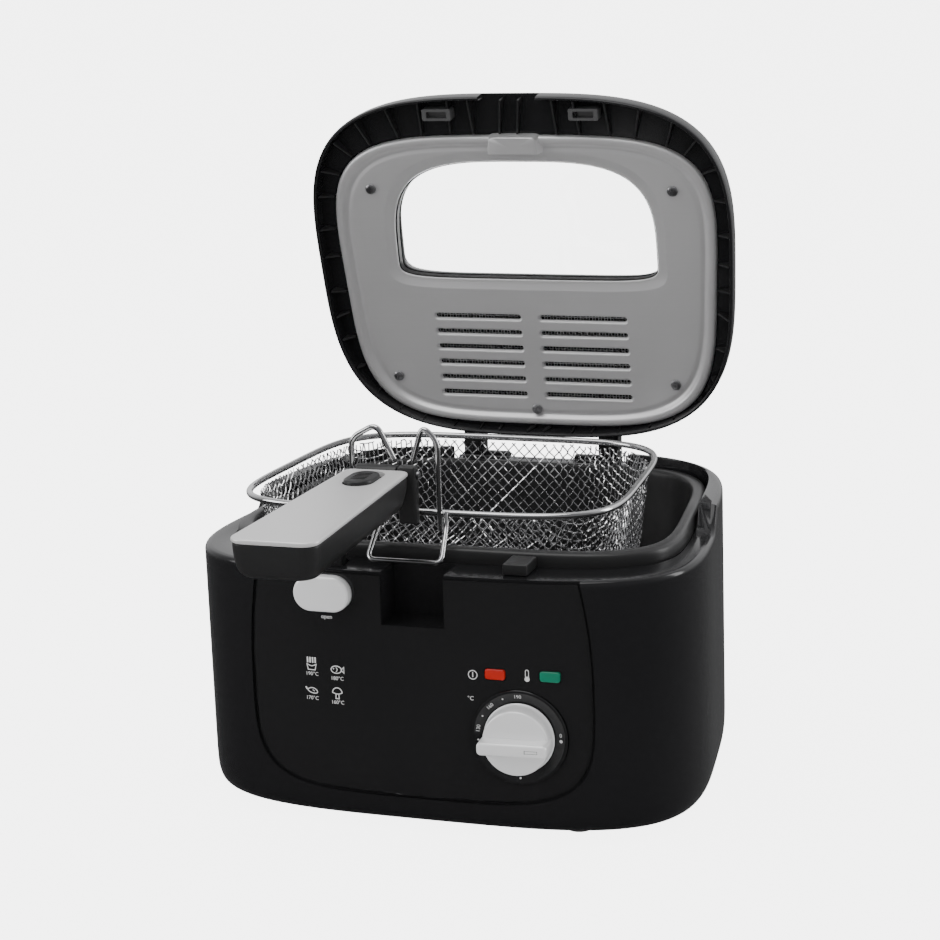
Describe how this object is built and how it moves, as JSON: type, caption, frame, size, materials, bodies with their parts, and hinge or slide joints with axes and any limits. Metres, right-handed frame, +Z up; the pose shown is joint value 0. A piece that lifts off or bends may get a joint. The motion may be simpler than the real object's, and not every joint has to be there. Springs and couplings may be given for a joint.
{
  "type": "deep fryer",
  "caption": "Compact deep fryer with a hinged lid and viewing window, a wire basket on a folding handle, an oil tub, a temperature knob and an open button.",
  "frame": {"origin": "centre of the bounding box in X and Y, on the surface it stands on", "axes": "+Z up, controls and basket handle face -Y, +X to the right seen from the front"},
  "size_m": [0.3173, 0.4192, 0.4258],
  "materials": {
    "black_gloss": "high gloss",
    "black_satin": "satin",
    "tub_coating": "satin non-stick coating",
    "aluminium": "satin, fine brushed",
    "chrome": "polished",
    "silver_plastic": "silver paint, satin",
    "grey_plastic": "satin",
    "red_lens": "gloss",
    "green_lens": "gloss",
    "glass": "clear",
    "rubber": "matte",
    "steel": "satin"
  },
  "bodies": {
    "base_unit": {"housing": "black_gloss", "base_plate": "black_satin", "foot_front_left": "rubber", "foot_front_right": "rubber", "foot_rear_left": "rubber", "foot_rear_right": "rubber", "front_panel": "black_gloss", "oil_tub": "tub_coating", "heating_element": "steel", "thermostat": "black_satin", "terminal_block": "grey_plastic", "cord_gland": "rubber", "lens_red": "red_lens", "lens_green": "green_lens", "knob_dish": "black_gloss", "lid_rest": "black_satin", "hinge_pin": "steel"},
    "lid": {"lid_shell": "black_gloss", "lid_liner": "aluminium", "lid_filter": "steel", "window_gasket": "rubber", "window_glass": "glass", "latch_socket_left": "grey_plastic", "latch_socket_right": "grey_plastic", "lid_screw_1": "steel", "lid_screw_2": "steel", "lid_screw_3": "steel", "lid_screw_4": "steel", "lid_screw_5": "steel"},
    "knob": {"control_knob": "silver_plastic"},
    "button": {"open_button": "silver_plastic", "latch_hook": "black_satin"},
    "basket": {"basket_mesh": "chrome", "basket_rim": "chrome", "basket_hook": "chrome", "stay_left": "chrome", "stay_right": "chrome", "handle_bracket": "black_satin", "handle_pivot": "steel"},
    "handle": {"handle_body": "black_satin", "handle_plate": "silver_plastic"},
    "slider": {"handle_slider": "black_satin"}
  },
  "joints": [
    {"name": "lid_hinge", "type": "hinge", "parent": "base_unit", "child": "lid", "pos_m": [0, 0.19291, 0.1685], "axis": [-1, 0, 0], "range_deg": [-14, 0], "stiffness_Nm_per_rad": 1.2, "springref_deg": 57.3},
    {"name": "basket_lift", "type": "slide", "parent": "base_unit", "child": "basket", "axis": [0, 0, 1], "range_m": [0, 0.08]},
    {"name": "handle_fold", "type": "hinge", "parent": "basket", "child": "handle", "pos_m": [-0.028, -0.03985, 0.216], "axis": [-1, 0, 0], "range_deg": [-30, 0]},
    {"name": "handle_release", "type": "slide", "parent": "handle", "child": "slider", "axis": [0, 1, 0], "range_m": [0, 0.006], "stiffness_N_per_m": 300, "springref_m": -0.002},
    {"name": "open_button_press", "type": "slide", "parent": "base_unit", "child": "button", "axis": [0, 1, 0], "range_m": [0, 0.004], "stiffness_N_per_m": 600, "springref_m": -0.002},
    {"name": "knob_turn", "type": "hinge", "parent": "base_unit", "child": "knob", "pos_m": [0.064, -0.07199, 0.067], "axis": [0.061, -0.9981, 0], "range_deg": [-270, 0]}
  ]
}
